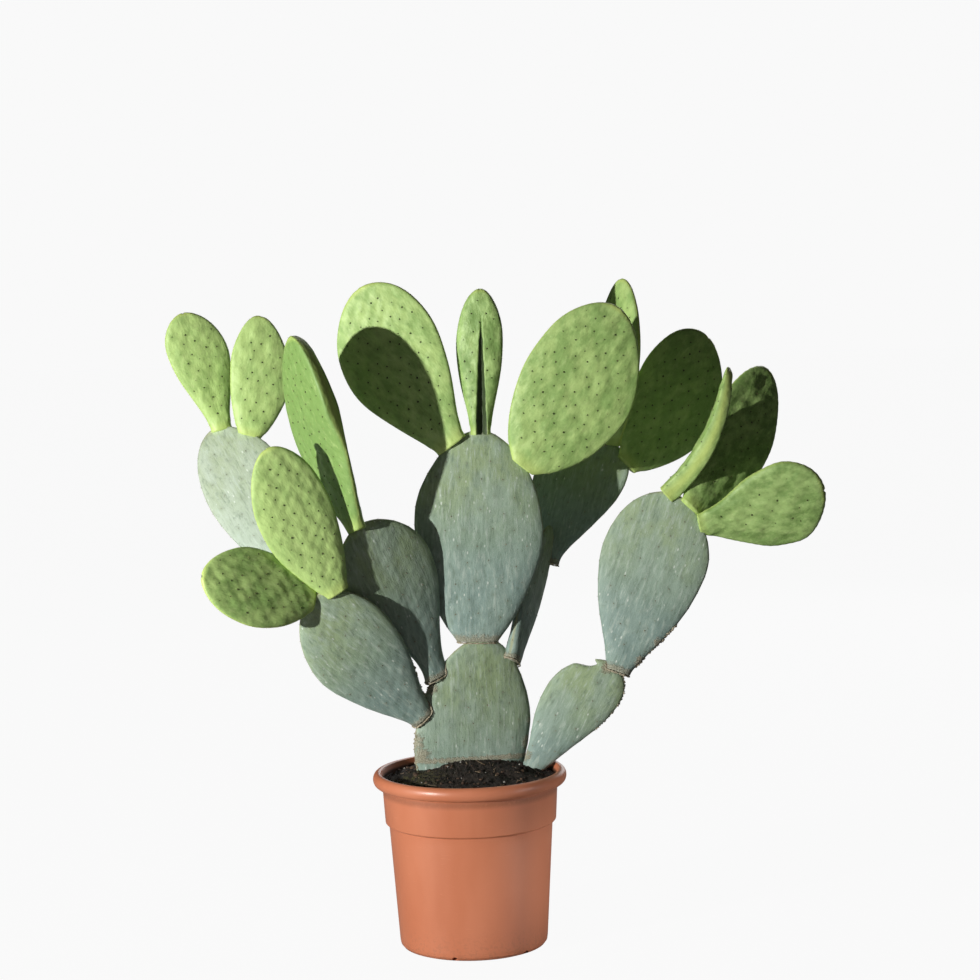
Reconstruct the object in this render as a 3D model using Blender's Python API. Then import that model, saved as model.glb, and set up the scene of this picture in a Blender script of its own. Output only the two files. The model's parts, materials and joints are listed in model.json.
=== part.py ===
"""Potted paddle cactus: a prickly pear of 22 pads standing in a turned plastic pot of soil.

Origin: centre of the pot's underside, on the standing plane. +Z up, -Y front, metres.
"""

import math

import bmesh
import bpy
from mathutils import Matrix, Vector

# ---- pot: outer sizes ----
POT_HEIGHT = 0.220
LIP_RADIUS = 0.120
MOUTH_RADIUS = 0.1100
COLLAR_TOP_RADIUS = 0.1085
COLLAR_FOOT_RADIUS = 0.1060
COLLAR_FOOT_Z = 0.1570
BODY_TOP_RADIUS = 0.1015
BODY_FOOT_RADIUS = 0.0920
POT_WALL = 0.0022
FOOT_DISC_RADIUS = 0.030
DRAIN_RING_RADIUS = 0.054
DRAIN_RING_HEIGHT = 0.004
DRAIN_HOLE_RADIUS = 0.005
DRAIN_HOLES = 8
DRAIN_DRILL_LENGTH = 0.020
CORNER_HOLE_RADIUS = 0.0040
CORNER_HOLES = 6
CORNER_DRILL_LENGTH = 0.014
CORNER_DRILL_AT = (0.0885, 0, 0.0032)
CORNER_DRILL_SLOPE = -45
POT_SEGMENTS = 48

# ---- soil ----
SOIL_LEVEL = 0.2090
SOIL_MOUND = 0.0120
SOIL_MOUND_SPREAD = 0.050
SOIL_MOUND_Y = 0.040
SOIL_BUMP = 0.0012
SOIL_RINGS = (0.18, 0.36, 0.54, 0.72, 0.88)

# ---- fits ----
SKIN_GAP = 0.0004
WALL_GAP = 0.0003
ROOT_SINK = 0.006

# ---- pads ----
ROW_PITCH = 0.0195
ROW_EASING = 0.4
SQUARENESS = 2.4
FULLNESS = 0.52
TIP_THINNING = 0.15
COLUMN_SPREAD = (0.97, 0.58, 0.19, -0.19, -0.58, -0.97)
AREOLE_SIZE = 0.0050
AREOLE_HEIGHT = 0.0025
AREOLE_ROOM = 1.4
AREOLE_CLEAR_OF_JOINT = 0.030
BARE_NECK = 0.16
MARGIN_WAVE = {"old_skin": 0.012, "pale_skin": 0.010, "young_skin": 0.010, "green_skin": 0.028}

# Each pad has two lines:
# what it grows from, place round that pad's rim (0 tip, -1 or 1 the neck), how far in on its back,
# length, width, thickness, neck;
# lean to the right, tilt to the front, turn, sideways sway, backward bow,
# shape (1 widest half way, more is widest nearer the tip), skin, pads it is pressed against.
PADS = {
    "base_pad": (
        None, 0, 0, 0.270, 0.146, 0.030, 0.090,
        1, 0, 14, 0.020, 0.000, 1.15, "old_skin", (),
    ),
    "centre_pad": (
        "base_pad", -0.03, 0, 0.265, 0.160, 0.024, 0.050,
        2, -1, 4, 0.000, 0.004, 1.10, "old_skin", (),
    ),
    "centre_left_pad": (
        "centre_pad", -0.16, 0, 0.225, 0.134, 0.020, 0.044,
        -36, -3, -12, 0.028, -0.010, 1.50, "young_skin", (),
    ),
    "centre_top_pad": (
        "centre_pad", 0.01, 0, 0.180, 0.056, 0.024, 0.026,
        0, 0, -8, 0.004, 0.000, 1.45, "young_skin", (),
    ),
    "centre_right_pad": (
        "centre_pad", 0.26, 0, 0.230, 0.144, 0.020, 0.030,
        40, 2, 4, -0.026, 0.010, 1.10, "young_skin", (),
    ),
    "back_stem_pad": (
        "base_pad", 0.21, 0, 0.190, 0.068, 0.020, 0.030,
        19, -27, 66, 0.000, 0.000, 1.20, "old_skin", (),
    ),
    "back_pad": (
        "back_stem_pad", 0.28, 0, 0.175, 0.118, 0.022, 0.030,
        17, -12, -17, 0.026, 0.006, 1.75, "old_skin", (),
    ),
    "back_right_pad": (
        "back_pad", 0.24, 0, 0.200, 0.130, 0.020, 0.030,
        45, -15, 16, -0.030, 0.010, 1.30, "young_skin", (),
    ),
    "back_top_pad": (
        "back_pad", 0.07, 0, 0.215, 0.094, 0.019, 0.030,
        5, -3, -60, 0.000, 0.000, 1.20, "young_skin", ("back_right_pad",),
    ),
    "left_front_pad": (
        "base_pad", -0.40, 0, 0.225, 0.114, 0.024, 0.034,
        -42, 24, 2, 0.014, 0.008, 1.45, "old_skin", (),
    ),
    "left_front_upright_pad": (
        "left_front_pad", 0.17, 0, 0.200, 0.092, 0.020, 0.030,
        -28, 10, 15, 0.014, -0.008, 1.25, "young_skin", (),
    ),
    "left_front_low_pad": (
        "left_front_pad", -0.01, 0, 0.150, 0.094, 0.018, 0.028,
        -70, 31, 27, 0.000, 0.008, 1.10, "green_skin", ("left_front_upright_pad",),
    ),
    "left_back_pad": (
        "base_pad", -0.26, 0, 0.225, 0.122, 0.020, 0.036,
        -19, 12, 26, -0.018, 0.000, 1.95, "old_skin", ("left_front_pad",),
    ),
    "left_tall_pad": (
        "left_back_pad", -0.04, 0, 0.245, 0.124, 0.020, 0.030,
        -24, -6, -58, 0.054, 0.004, 1.35, "young_skin", (),
    ),
    "left_rear_pad": (
        "left_front_pad", 0.01, 0.028, 0.300, 0.108, 0.018, 0.030,
        -33, -28, 0, -0.004, 0.008, 1.75, "pale_skin", ("left_front_upright_pad",),
    ),
    "left_rear_outer_pad": (
        "left_rear_pad", 0.07, 0, 0.155, 0.074, 0.018, 0.028,
        -13, -3, 19, -0.012, -0.008, 1.70, "young_skin", (),
    ),
    "left_rear_inner_pad": (
        "left_rear_pad", 0.22, 0, 0.150, 0.074, 0.018, 0.028,
        16, -5, 9, -0.022, 0.006, 1.10, "young_skin", ("left_rear_outer_pad",),
    ),
    "right_stem_pad": (
        None, 0, 0, 0.190, 0.088, 0.024, 0.030,
        29, -2, -4, 0.026, 0.004, 2.10, "old_skin", (),
    ),
    "right_pad": (
        "right_stem_pad", 0.07, 0, 0.235, 0.134, 0.022, 0.034,
        21, -7, -8, -0.006, -0.008, 1.50, "old_skin", (),
    ),
    "right_edge_pad": (
        "right_pad", -0.03, 0, 0.165, 0.056, 0.019, 0.026,
        50, 8, -84, -0.008, -0.068, 1.70, "young_skin", (),
    ),
    "right_upper_pad": (
        "right_pad", 0.12, 0, 0.215, 0.092, 0.020, 0.030,
        46, -24, 11, -0.038, 0.014, 1.25, "green_skin", ("right_edge_pad",),
    ),
    "right_outer_pad": (
        "right_pad", 0.21, 0, 0.160, 0.108, 0.018, 0.030,
        80, 4, 19, -0.018, -0.010, 1.85, "green_skin", ("right_upper_pad",),
    ),
}
PLANTED_AT = {"base_pad": (-0.004, 0.030, 0.110), "right_stem_pad": (0.065, 0.025, 0.190)}
BURIED_LENGTH = {"base_pad": 0.138, "right_stem_pad": 0.060}

# skin: colour, roughness
SKINS = {
    "old_skin": ((0.23, 0.30, 0.24), 0.60),
    "pale_skin": ((0.47, 0.56, 0.46), 0.65),
    "young_skin": ((0.32, 0.50, 0.15), 0.50),
    "green_skin": ((0.20, 0.36, 0.12), 0.50),
    "potting_soil": ((0.030, 0.022, 0.017), 0.95),
    "pot_plastic": ((0.56, 0.17, 0.07), 0.45),
}


def clear_scene():
    for obj in list(bpy.data.objects):
        bpy.data.objects.remove(obj, do_unlink=True)


def material(name):
    found = bpy.data.materials.get(name)
    if found:
        return found
    colour, roughness = SKINS[name]
    found = bpy.data.materials.new(name)
    found.use_nodes = True
    shader = found.node_tree.nodes["Principled BSDF"]
    shader.inputs["Base Color"].default_value = (*colour, 1)
    shader.inputs["Roughness"].default_value = roughness
    found.diffuse_color = (*colour, 1)
    return found


def add_object(name, bm, slot):
    bmesh.ops.recalc_face_normals(bm, faces=bm.faces)
    mesh = bpy.data.meshes.new(name)
    bm.to_mesh(mesh)
    bm.free()
    mesh.materials.append(material(slot))
    mesh.shade_smooth()
    mesh.set_sharp_from_angle(angle=math.radians(40))
    obj = bpy.data.objects.new(name, mesh)
    bpy.context.scene.collection.objects.link(obj)
    return obj


def hide_cutter(obj):
    obj.hide_render = True
    obj.display_type = "WIRE"


def cut(obj, cutter):
    boolean = obj.modifiers.new("clear_of_" + cutter.name, "BOOLEAN")
    boolean.operation = "DIFFERENCE"
    boolean.solver = "EXACT"
    boolean.object = cutter


def turned(profile, segments):
    """Closed solid of revolution about Z; the profile starts and ends on the axis."""
    bm = bmesh.new()
    rings = []
    for radius, z in profile:
        if radius == 0:
            rings.append([bm.verts.new((0, 0, z))])
            continue
        ring = []
        for index in range(segments):
            angle = 2 * math.pi * index / segments
            ring.append(bm.verts.new((radius * math.cos(angle), radius * math.sin(angle), z)))
        rings.append(ring)
    for low, high in zip(rings, rings[1:]):
        for index in range(segments):
            after = (index + 1) % segments
            corners = [low[index % len(low)], low[after % len(low)]]
            corners += [high[after % len(high)], high[index % len(high)]]
            bm.faces.new(list(dict.fromkeys(corners)))
    return bm


# ---- pad form ----
def bulge(pad, t):
    """0 at the ends of the pad, 1 at its widest."""
    return max(math.sin(math.pi * t ** pad["shape"]), 0) ** FULLNESS


def half_width(pad, t, side):
    """Half width on the right (side 1) or left (side -1), with the gentle waves of its margin."""
    phase = pad["order"] * 1.7 + side
    wave = math.sin(10 * t + phase) + 0.6 * math.sin(19 * t + 2 * phase)
    blade = pad["width"] / 2 * bulge(pad, t) * (1 + MARGIN_WAVE[pad["skin"]] * wave)
    neck = pad["neck"] / 2 * (1 - t) ** 3
    return math.hypot(blade, neck)


def half_thickness(pad, t):
    taper = 1 - TIP_THINNING * (1 - math.cos(math.pi * t))
    return pad["thick"] / 2 * taper * math.sqrt(min(bulge(pad, t) + (1 - t) ** 6, 1))


def centre_line(pad, t):
    return Vector((pad["sway"] * t * t, pad["bow"] * t * t, pad["length"] * t))


def rim_share(across):
    return (1 - abs(across) ** SQUARENESS) ** (1 / SQUARENESS)


def seat_point(pad, place, inset):
    """Point on the rim, or set in on the back face by `inset`, in the pad's own axes."""
    t = (1 + math.cos(math.pi * place)) / 2
    side = (place > 0) - (place < 0)
    rim = centre_line(pad, t) + Vector((side * half_width(pad, t, side), 0, 0))
    if not inset:
        return rim
    point = rim + (centre_line(pad, 0.5) - rim).normalized() * inset
    t = point.z / pad["length"]
    middle = centre_line(pad, t)
    across = (point.x - middle.x) / half_width(pad, t, side)
    point.y = middle.y + half_thickness(pad, t) * rim_share(min(abs(across), 1))
    return point


def pad_shell(pad, grow):
    """Blade of quads: 12 round, a row each ROW_PITCH, a flat buried end and a pointed fan at the tip."""
    bm = bmesh.new()
    rows = max(6, round(pad["length"] / ROW_PITCH))
    rings = []
    for row in range(rows):
        even = row / (rows - 0.45)
        t = (1 - ROW_EASING) * even + ROW_EASING * (1 - math.cos(math.pi * even)) / 2
        wide = {side: half_width(pad, t, side) / COLUMN_SPREAD[0] + grow for side in (-1, 1)}
        deep = half_thickness(pad, t) + grow
        middle = centre_line(pad, t)
        ring = []
        for face, order in ((-1, COLUMN_SPREAD), (1, reversed(COLUMN_SPREAD))):
            for across in order:
                sideways = across * wide[1 if across > 0 else -1]
                offset = Vector((sideways, face * deep * rim_share(across), 0))
                ring.append(bm.verts.new(middle + offset))
        rings.append(ring)
    if grow:
        for vert in rings[0]:
            vert.co.z -= grow
    tip = bm.verts.new(centre_line(pad, 1) + Vector((0, 0, grow)))
    around = len(rings[0])
    quads = []
    for row, (low, high) in enumerate(zip(rings, rings[1:])):
        for column in range(around):
            after = (column + 1) % around
            face = bm.faces.new((low[column], low[after], high[after], high[column]))
            quads.append((row, column, face))
    for column in range(around):
        bm.faces.new((rings[-1][column], rings[-1][(column + 1) % around], tip))
    bm.faces.new(reversed(rings[0]))
    bmesh.ops.recalc_face_normals(bm, faces=bm.faces)
    return bm, quads


def split_quads(bm):
    """Every four-sided face is split the same way, so a pad and its outline keep one gap."""
    four = [face for face in bm.faces if len(face.verts) == 4]
    bmesh.ops.triangulate(bm, faces=four, quad_method="FIXED")


def raise_areoles(bm, pad, quads, joints, bare):
    """Spine cushions: alternate quads of alternate rows, each drawn in to a small square and raised."""
    for row, column, face in quads:
        if row % 2 == 0 or (column + row // 2) % 2:
            continue
        middle = face.calc_center_median()
        if middle.z < bare:
            continue
        if any((middle - joint).length < AREOLE_CLEAR_OF_JOINT for joint in joints):
            continue
        shortest = min(edge.calc_length() for edge in face.edges)
        if shortest < AREOLE_SIZE * AREOLE_ROOM:
            continue
        bmesh.ops.inset_individual(bm, faces=[face], thickness=(shortest - AREOLE_SIZE) / 2, depth=0)
        bmesh.ops.poke(bm, faces=[face], offset=AREOLE_HEIGHT)


def turn_of(pad):
    lean = Matrix.Rotation(math.radians(pad["lean"]), 3, "Y")
    tilt = Matrix.Rotation(math.radians(pad["tilt"]), 3, "X")
    turn = Matrix.Rotation(math.radians(pad["turn"]), 3, "Z")
    return lean @ tilt @ turn


def read_pads():
    keys = "from place inset length width thick neck lean tilt turn sway bow shape skin pressed".split()
    pads = {name: dict(zip(keys, row)) for name, row in PADS.items()}
    for order, pad in enumerate(pads.values()):
        pad["order"] = order
    return pads


def build_pads(pads):
    made = {}
    skins = {}
    for name, pad in pads.items():
        children = [child for child in pads.values() if child["from"] == name]
        joints = [seat_point(pad, child["place"], child["inset"]) for child in children]
        bm, quads = pad_shell(pad, 0)
        bare = BURIED_LENGTH.get(name, BARE_NECK * pad["length"])
        raise_areoles(bm, pad, quads, joints, bare)
        split_quads(bm)
        obj = add_object(name, bm, pad["skin"])
        outline = pad_shell(pad, SKIN_GAP)[0]
        split_quads(outline)
        skin = add_object("outline_" + name, outline, pad["skin"])
        hide_cutter(skin)
        turn = turn_of(pad)
        if pad["from"]:
            holder = pads[pad["from"]]
            seat = seat_point(holder, pad["place"], pad["inset"])
            turn = turn_of(holder).transposed() @ turn
            obj.parent = made[pad["from"]]
            obj.location = seat - turn @ Vector((0, 0, ROOT_SINK))
            cut(obj, skins[pad["from"]])
        else:
            obj.location = PLANTED_AT[name]
        obj.rotation_euler = turn.to_euler()
        skin.parent = obj
        for neighbour in pad["pressed"]:
            cut(obj, skins[neighbour])
        made[name] = obj
        skins[name] = skin
    cut(made["right_stem_pad"], skins["base_pad"])
    return made, skins


# ---- pot and soil ----
def inner_wall(gap):
    """Inner face of the pot from the middle of the floor to the mouth, moved in by `gap`: (radius, z)."""
    floor = POT_WALL + gap
    ring = DRAIN_RING_HEIGHT + floor
    return [
        (0, floor),
        (FOOT_DISC_RADIUS - gap, floor),
        (FOOT_DISC_RADIUS + 0.004 - gap, ring),
        (0.0740 + gap, ring),
        (0.0775 + gap, floor),
        (0.0830 - gap, floor + 0.0004),
        (0.0873 - gap, 0.0050 + gap),
        (BODY_FOOT_RADIUS - POT_WALL - 0.0002 - gap, 0.0110),
        (BODY_TOP_RADIUS - POT_WALL - gap, COLLAR_FOOT_Z - 0.0040),
        (COLLAR_FOOT_RADIUS - POT_WALL - 0.0006 - gap, COLLAR_FOOT_Z + 0.0010 + gap),
        (COLLAR_TOP_RADIUS - POT_WALL - gap, 0.2000),
        (MOUTH_RADIUS - POT_WALL - gap, 0.2120),
    ]


def build_pot():
    underside = [
        (0, 0),
        (FOOT_DISC_RADIUS, 0),
        (FOOT_DISC_RADIUS + 0.004, DRAIN_RING_HEIGHT),
        (0.0730, DRAIN_RING_HEIGHT),
        (0.0765, 0),
        (0.0840, 0),
        (0.0885, 0.0016),
        (0.0912, 0.0050),
        (BODY_FOOT_RADIUS, 0.0100),
    ]
    outside = [
        (BODY_TOP_RADIUS, COLLAR_FOOT_Z - 0.0020),
        (COLLAR_FOOT_RADIUS - 0.0008, COLLAR_FOOT_Z - 0.0006),
        (COLLAR_FOOT_RADIUS, COLLAR_FOOT_Z + 0.0008),
        (COLLAR_TOP_RADIUS, 0.2005),
    ]
    lip = [
        (LIP_RADIUS - 0.0055, 0.2030),
        (LIP_RADIUS - 0.0012, 0.2065),
        (LIP_RADIUS, 0.2115),
        (LIP_RADIUS - 0.0016, 0.2160),
        (LIP_RADIUS - 0.0050, 0.2192),
        (MOUTH_RADIUS + 0.0020, POT_HEIGHT),
        (MOUTH_RADIUS, 0.2186),
    ]
    profile = underside + outside + lip + list(reversed(inner_wall(0)))
    pot = add_object("pot", turned(profile, POT_SEGMENTS), "pot_plastic")
    bm = bmesh.new()
    for index in range(DRAIN_HOLES):
        round_axis = Matrix.Rotation(2 * math.pi * (index + 0.5) / DRAIN_HOLES, 4, "Z")
        spot = round_axis @ Matrix.Translation((DRAIN_RING_RADIUS, 0, DRAIN_RING_HEIGHT))
        drill(bm, DRAIN_HOLE_RADIUS, DRAIN_DRILL_LENGTH, spot)
    for index in range(CORNER_HOLES):
        round_axis = Matrix.Rotation(2 * math.pi * (index + 0.25) / CORNER_HOLES, 4, "Z")
        slope = Matrix.Rotation(math.radians(CORNER_DRILL_SLOPE), 4, "Y")
        spot = round_axis @ Matrix.Translation(CORNER_DRILL_AT) @ slope
        drill(bm, CORNER_HOLE_RADIUS, CORNER_DRILL_LENGTH, spot)
    holes = add_object("drain_drills", bm, "pot_plastic")
    hide_cutter(holes)
    cut(pot, holes)
    return pot


def drill(bm, radius, length, spot):
    bmesh.ops.create_cone(
        bm, cap_ends=True, segments=12, radius1=radius, radius2=radius, depth=length, matrix=spot
    )


def soil_top(x, y, radius):
    mound = SOIL_MOUND * math.exp(-(x * x + (y - SOIL_MOUND_Y) ** 2) / (2 * SOIL_MOUND_SPREAD**2))
    bump = SOIL_BUMP * (math.sin(95 * x + 3) * math.cos(83 * y) + 0.7 * math.sin(160 * y + 60 * x))
    return SOIL_LEVEL + (mound + bump) * (1 - (math.hypot(x, y) / radius) ** 6)


def build_soil(skins):
    wall = inner_wall(WALL_GAP)
    (low_radius, low_z), (high_radius, high_z) = wall[-2:]
    climb = (SOIL_LEVEL - low_z) / (high_z - low_z)
    edge = low_radius + climb * (high_radius - low_radius)
    profile = wall[:-1] + [(edge, SOIL_LEVEL)]
    profile += [(edge * share, SOIL_LEVEL) for share in reversed(SOIL_RINGS)] + [(0, SOIL_LEVEL)]
    bm = turned(profile, POT_SEGMENTS)
    for vert in bm.verts:
        if vert.co.z > SOIL_LEVEL - 1e-6:
            vert.co.z = soil_top(vert.co.x, vert.co.y, edge)
    soil = add_object("soil", bm, "potting_soil")
    for name in PLANTED_AT:
        cut(soil, skins[name])
    return soil


def main():
    clear_scene()
    build_pot()
    pads = read_pads()
    made, skins = build_pads(pads)
    build_soil(skins)


main()
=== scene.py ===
"""Potted paddle cactus: the finished surfaces of the pot, the soil and the 22 pads, in metres."""

import json
import math
import random
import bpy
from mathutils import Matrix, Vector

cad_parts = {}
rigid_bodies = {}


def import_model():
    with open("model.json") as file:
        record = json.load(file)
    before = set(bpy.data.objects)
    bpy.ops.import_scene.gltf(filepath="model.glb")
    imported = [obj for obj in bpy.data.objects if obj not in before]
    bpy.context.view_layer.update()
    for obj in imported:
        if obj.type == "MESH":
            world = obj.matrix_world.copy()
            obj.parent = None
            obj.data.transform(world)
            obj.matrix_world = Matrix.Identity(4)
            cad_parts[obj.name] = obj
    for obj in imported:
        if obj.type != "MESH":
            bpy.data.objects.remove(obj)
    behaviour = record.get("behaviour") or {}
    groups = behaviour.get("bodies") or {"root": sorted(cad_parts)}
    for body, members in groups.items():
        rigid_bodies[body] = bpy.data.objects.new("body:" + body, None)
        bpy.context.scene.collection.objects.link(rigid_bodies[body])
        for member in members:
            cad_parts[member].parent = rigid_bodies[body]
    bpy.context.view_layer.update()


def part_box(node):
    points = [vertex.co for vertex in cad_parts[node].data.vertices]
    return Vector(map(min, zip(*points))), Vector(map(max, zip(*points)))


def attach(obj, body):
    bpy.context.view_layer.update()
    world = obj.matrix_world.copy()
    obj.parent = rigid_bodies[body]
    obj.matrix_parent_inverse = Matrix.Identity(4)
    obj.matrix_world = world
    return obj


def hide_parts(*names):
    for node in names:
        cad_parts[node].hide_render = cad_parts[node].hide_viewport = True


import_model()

from types import SimpleNamespace

import bmesh
import bpy
import numpy as np
from mathutils import Matrix, Vector, noise

# ---- Pot ----
# A nursery pot, injection moulded in terracotta-coloured polypropylene. The wall is about 2 mm
# thick, with a rolled lip, a wider collar above a step, and a raised, pierced ring underneath.

foot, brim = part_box("pot")
LIP_RADIUS = (brim.x - foot.x) / 2
POT_HEIGHT = brim.z
POT_WALL = 0.0022
MOUTH_RADIUS = LIP_RADIUS - 0.0100
MOUTH_Z = 0.2120
COLLAR_TOP_RADIUS = 0.1085
COLLAR_TOP_Z = 0.2000
COLLAR_FOOT_RADIUS = 0.1060
COLLAR_FOOT_Z = 0.1570
BODY_TOP_RADIUS = 0.1015
BODY_FOOT_RADIUS = 0.0920
BODY_FOOT_Z = 0.010
BODY_HEIGHT = 0.145
BODY_BANDS = 12
FOOT_DISC_RADIUS = 0.030
DRAIN_RING_HEIGHT = 0.004
RING_SLOPE = 0.004
EDGE_ROUNDING = 0.0004
SHARP_FROM = 35
POT_STEPS = 144

ROLL_WIDTH = 0.0066
ROLL_HEIGHT = 0.0085
ROLL_START = -100
ROLL_SWEEP = 215
ROLL_STEPS = 21

# Holes, in the ring and slanting at the corner of the foot: how many, where the first one is as a
# share of the gap, its place, its slant in degrees, its radius, how long the drill is, its sides.
DRAIN_HOLES = (
    (8, 0.5, (0.054, 0, DRAIN_RING_HEIGHT), 0, 0.005, 0.020, 32),
    (6, 0.25, (0.0885, 0, 0.0032), -45, 0.004, 0.014, 24),
)


class Finish:
    """A material built from nodes. What goes into a node is given by the name of its input."""

    def __init__(self, name):
        self.material = bpy.data.materials.new(name)
        self.material.use_nodes = True
        self.tree = self.material.node_tree
        self.shader = self.tree.nodes["Principled BSDF"]

    def add(self, kind, settings=None, **inputs):
        """A node with its settings and its inputs."""
        made = self.tree.nodes.new("ShaderNode" + kind)
        for key, value in (settings or {}).items():
            setattr(made, key, value)
        for key, value in inputs.items():
            self.set(made, key.replace("_", " "), value)
        return made

    def set(self, made, key, value):
        socket = made.inputs[int(key[4:])] if key.startswith("slot") else made.inputs[key]
        if isinstance(value, bpy.types.NodeSocket):
            self.tree.links.new(value, socket)
        elif isinstance(value, tuple) and socket.type == "RGBA":
            socket.default_value = (*value, 1)
        else:
            socket.default_value = value

    def place(self):
        return self.add("TexCoord").outputs["Object"]

    def grown(self, name, form="Fac"):
        """A value that each point of the piece carries with it."""
        return self.add("Attribute", {"attribute_name": name}).outputs[form]

    def stretched(self, where, scale):
        return self.add("Mapping", Vector=where, Scale=scale).outputs["Vector"]

    def pattern(self, kind, where, scale, **inputs):
        """A pattern of one scale, or drawn out by one for each axis."""
        if isinstance(scale, tuple):
            where, scale = self.stretched(where, scale), 1.0
        return self.add(kind, Vector=where, Scale=scale, **inputs)

    def cloud(self, where, scale, detail=3.0, rough=0.55):
        """Soft, irregular noise."""
        made = self.pattern("TexNoise", where, scale, Detail=detail, Roughness=rough)
        return made.outputs["Fac"]

    def cells(self, where, scale):
        """How far the nearest of many scattered points is."""
        return self.pattern("TexVoronoi", where, scale).outputs["Distance"]

    def ramp(self, value, low, high, out_low=0.0, out_high=1.0):
        """A value eased from out_low to out_high as it goes from low to high."""
        made = self.add(
            "MapRange", {"interpolation_type": "SMOOTHSTEP"}, Value=value,
            From_Min=low, From_Max=high, To_Min=out_low, To_Max=out_high,
        )
        return made.outputs["Result"]

    def maths(self, operation, first, second):
        return self.add("Math", {"operation": operation}, slot0=first, slot1=second).outputs[0]

    def times(self, first, second):
        return self.maths("MULTIPLY", first, second)

    def mix(self, share, first, second):
        """Colour that goes from the first to the second as the share goes from 0 to 1."""
        made = self.add("Mix", {"data_type": "RGBA"}, slot0=share, slot6=first, slot7=second)
        return made.outputs[2]

    def bump(self, height, depth, under=None):
        """Fine relief of a depth in metres, on top of the relief under it."""
        made = self.add("Bump", Height=height, Distance=depth)
        if under is not None:
            self.set(made, "Normal", under)
        return made.outputs["Normal"]

    def mottle(self, pattern, dark, light, rough, depth, low=0.35, high=0.65):
        """A plain finish: one pattern gives the tint and stands up a little."""
        tint = self.mix(self.ramp(pattern, low, high), dark, light)
        return self.shade(Base_Color=tint, Roughness=rough, Normal=self.bump(pattern, depth))

    def shade(self, **inputs):
        """Sets what the shader is given, and hands over the finished material."""
        for key, value in inputs.items():
            self.set(self.shader, key.replace("_", " "), value)
        return self.material


def put_in_scene(name, data):
    """A new object of a mesh, a light or a camera."""
    obj = bpy.data.objects.new(name, data)
    bpy.context.scene.collection.objects.link(obj)
    return obj


def finish_piece(name, mesh, material, replaces=()):
    """Puts a mesh in the scene as a smooth, finished piece that is fixed to the one body."""
    mesh.materials.clear()
    mesh.materials.append(material)
    mesh.shade_smooth()
    piece = put_in_scene(name, mesh)
    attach(piece, "root")
    if replaces:
        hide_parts(*replaces)
    return piece


def mesh_of(bm, name):
    """The mesh that was built, with its faces outward."""
    bmesh.ops.recalc_face_normals(bm, faces=bm.faces)
    mesh = bpy.data.meshes.new(name)
    bm.to_mesh(mesh)
    bm.free()
    return mesh


def turned(profile, steps, round_off=0.0):
    """Solid of revolution about Z. Its profile of (radius, z) starts and ends on the axis."""
    bm = bmesh.new()
    points = [bm.verts.new((radius, 0, z)) for radius, z in profile]
    for pair in zip(points, points[1:]):
        bm.edges.new(pair)
    if round_off:
        bmesh.ops.bevel(
            bm, geom=points[1:-1], offset=round_off, offset_type="OFFSET", segments=3,
            profile=0.5, affect="VERTICES", material=-1,
        )
    whole = list(bm.verts) + list(bm.edges)
    bmesh.ops.spin(
        bm, geom=whole, cent=(0, 0, 0), axis=(0, 0, 1), angle=2 * math.pi,
        steps=steps, use_merge=True,
    )
    bmesh.ops.remove_doubles(bm, verts=bm.verts, dist=1e-6)
    bmesh.ops.dissolve_degenerate(bm, edges=bm.edges, dist=1e-7)
    return bm


def inner_wall(gap):
    """Inner face of the pot from the middle of the floor up to the mouth, moved in by the gap."""
    floor = POT_WALL + gap
    ring = DRAIN_RING_HEIGHT + floor
    return [
        (0, floor),
        (FOOT_DISC_RADIUS - gap, floor),
        (FOOT_DISC_RADIUS + RING_SLOPE - gap, ring),
        (0.0740 + gap, ring),
        (0.0775 + gap, floor),
        (0.0830 - gap, floor + 0.0004),
        (0.0873 - gap, 0.0050 + gap),
        (BODY_FOOT_RADIUS - POT_WALL - 0.0002 - gap, 0.0110),
        (BODY_TOP_RADIUS - POT_WALL - gap, COLLAR_FOOT_Z - 0.0040),
        (COLLAR_FOOT_RADIUS - POT_WALL - 0.0006 - gap, COLLAR_FOOT_Z + 0.0010 + gap),
        (COLLAR_TOP_RADIUS - POT_WALL - gap, COLLAR_TOP_Z),
        (MOUTH_RADIUS - POT_WALL - gap, MOUTH_Z),
    ]


def rolled_lip():
    """The lip is a round roll: an arc from its tucked-in lower edge over the top to the mouth."""
    for step in range(ROLL_STEPS + 1):
        angle = math.radians(ROLL_START + ROLL_SWEEP * step / ROLL_STEPS)
        radius = LIP_RADIUS - ROLL_WIDTH + ROLL_WIDTH * math.cos(angle)
        yield radius, POT_HEIGHT - ROLL_HEIGHT + ROLL_HEIGHT * math.sin(angle)


def drilled(bm):
    """The pot with its drain holes cut through."""
    drills = bmesh.new()
    for count, first, place, slant, radius, long, sides in DRAIN_HOLES:
        slant = Matrix.Rotation(math.radians(slant), 4, "Y")
        for index in range(count):
            round_axis = Matrix.Rotation(2 * math.pi * (index + first) / count, 4, "Z")
            bmesh.ops.create_cone(
                drills, cap_ends=True, segments=sides, radius1=radius, radius2=radius, depth=long,
                matrix=round_axis @ Matrix.Translation(place) @ slant,
            )
    whole = put_in_scene("whole_pot", mesh_of(bm, "whole_pot"))
    cutter = put_in_scene("drills", mesh_of(drills, "drills"))
    boolean = whole.modifiers.new("holes", "BOOLEAN")
    boolean.object = cutter
    boolean.solver = "EXACT"
    bpy.context.view_layer.update()
    solved = whole.evaluated_get(bpy.context.evaluated_depsgraph_get())
    mesh = bpy.data.meshes.new_from_object(solved)
    mesh.name = "pot_shell"
    for obj in (whole, cutter):
        bpy.data.objects.remove(obj)
    return mesh


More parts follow.
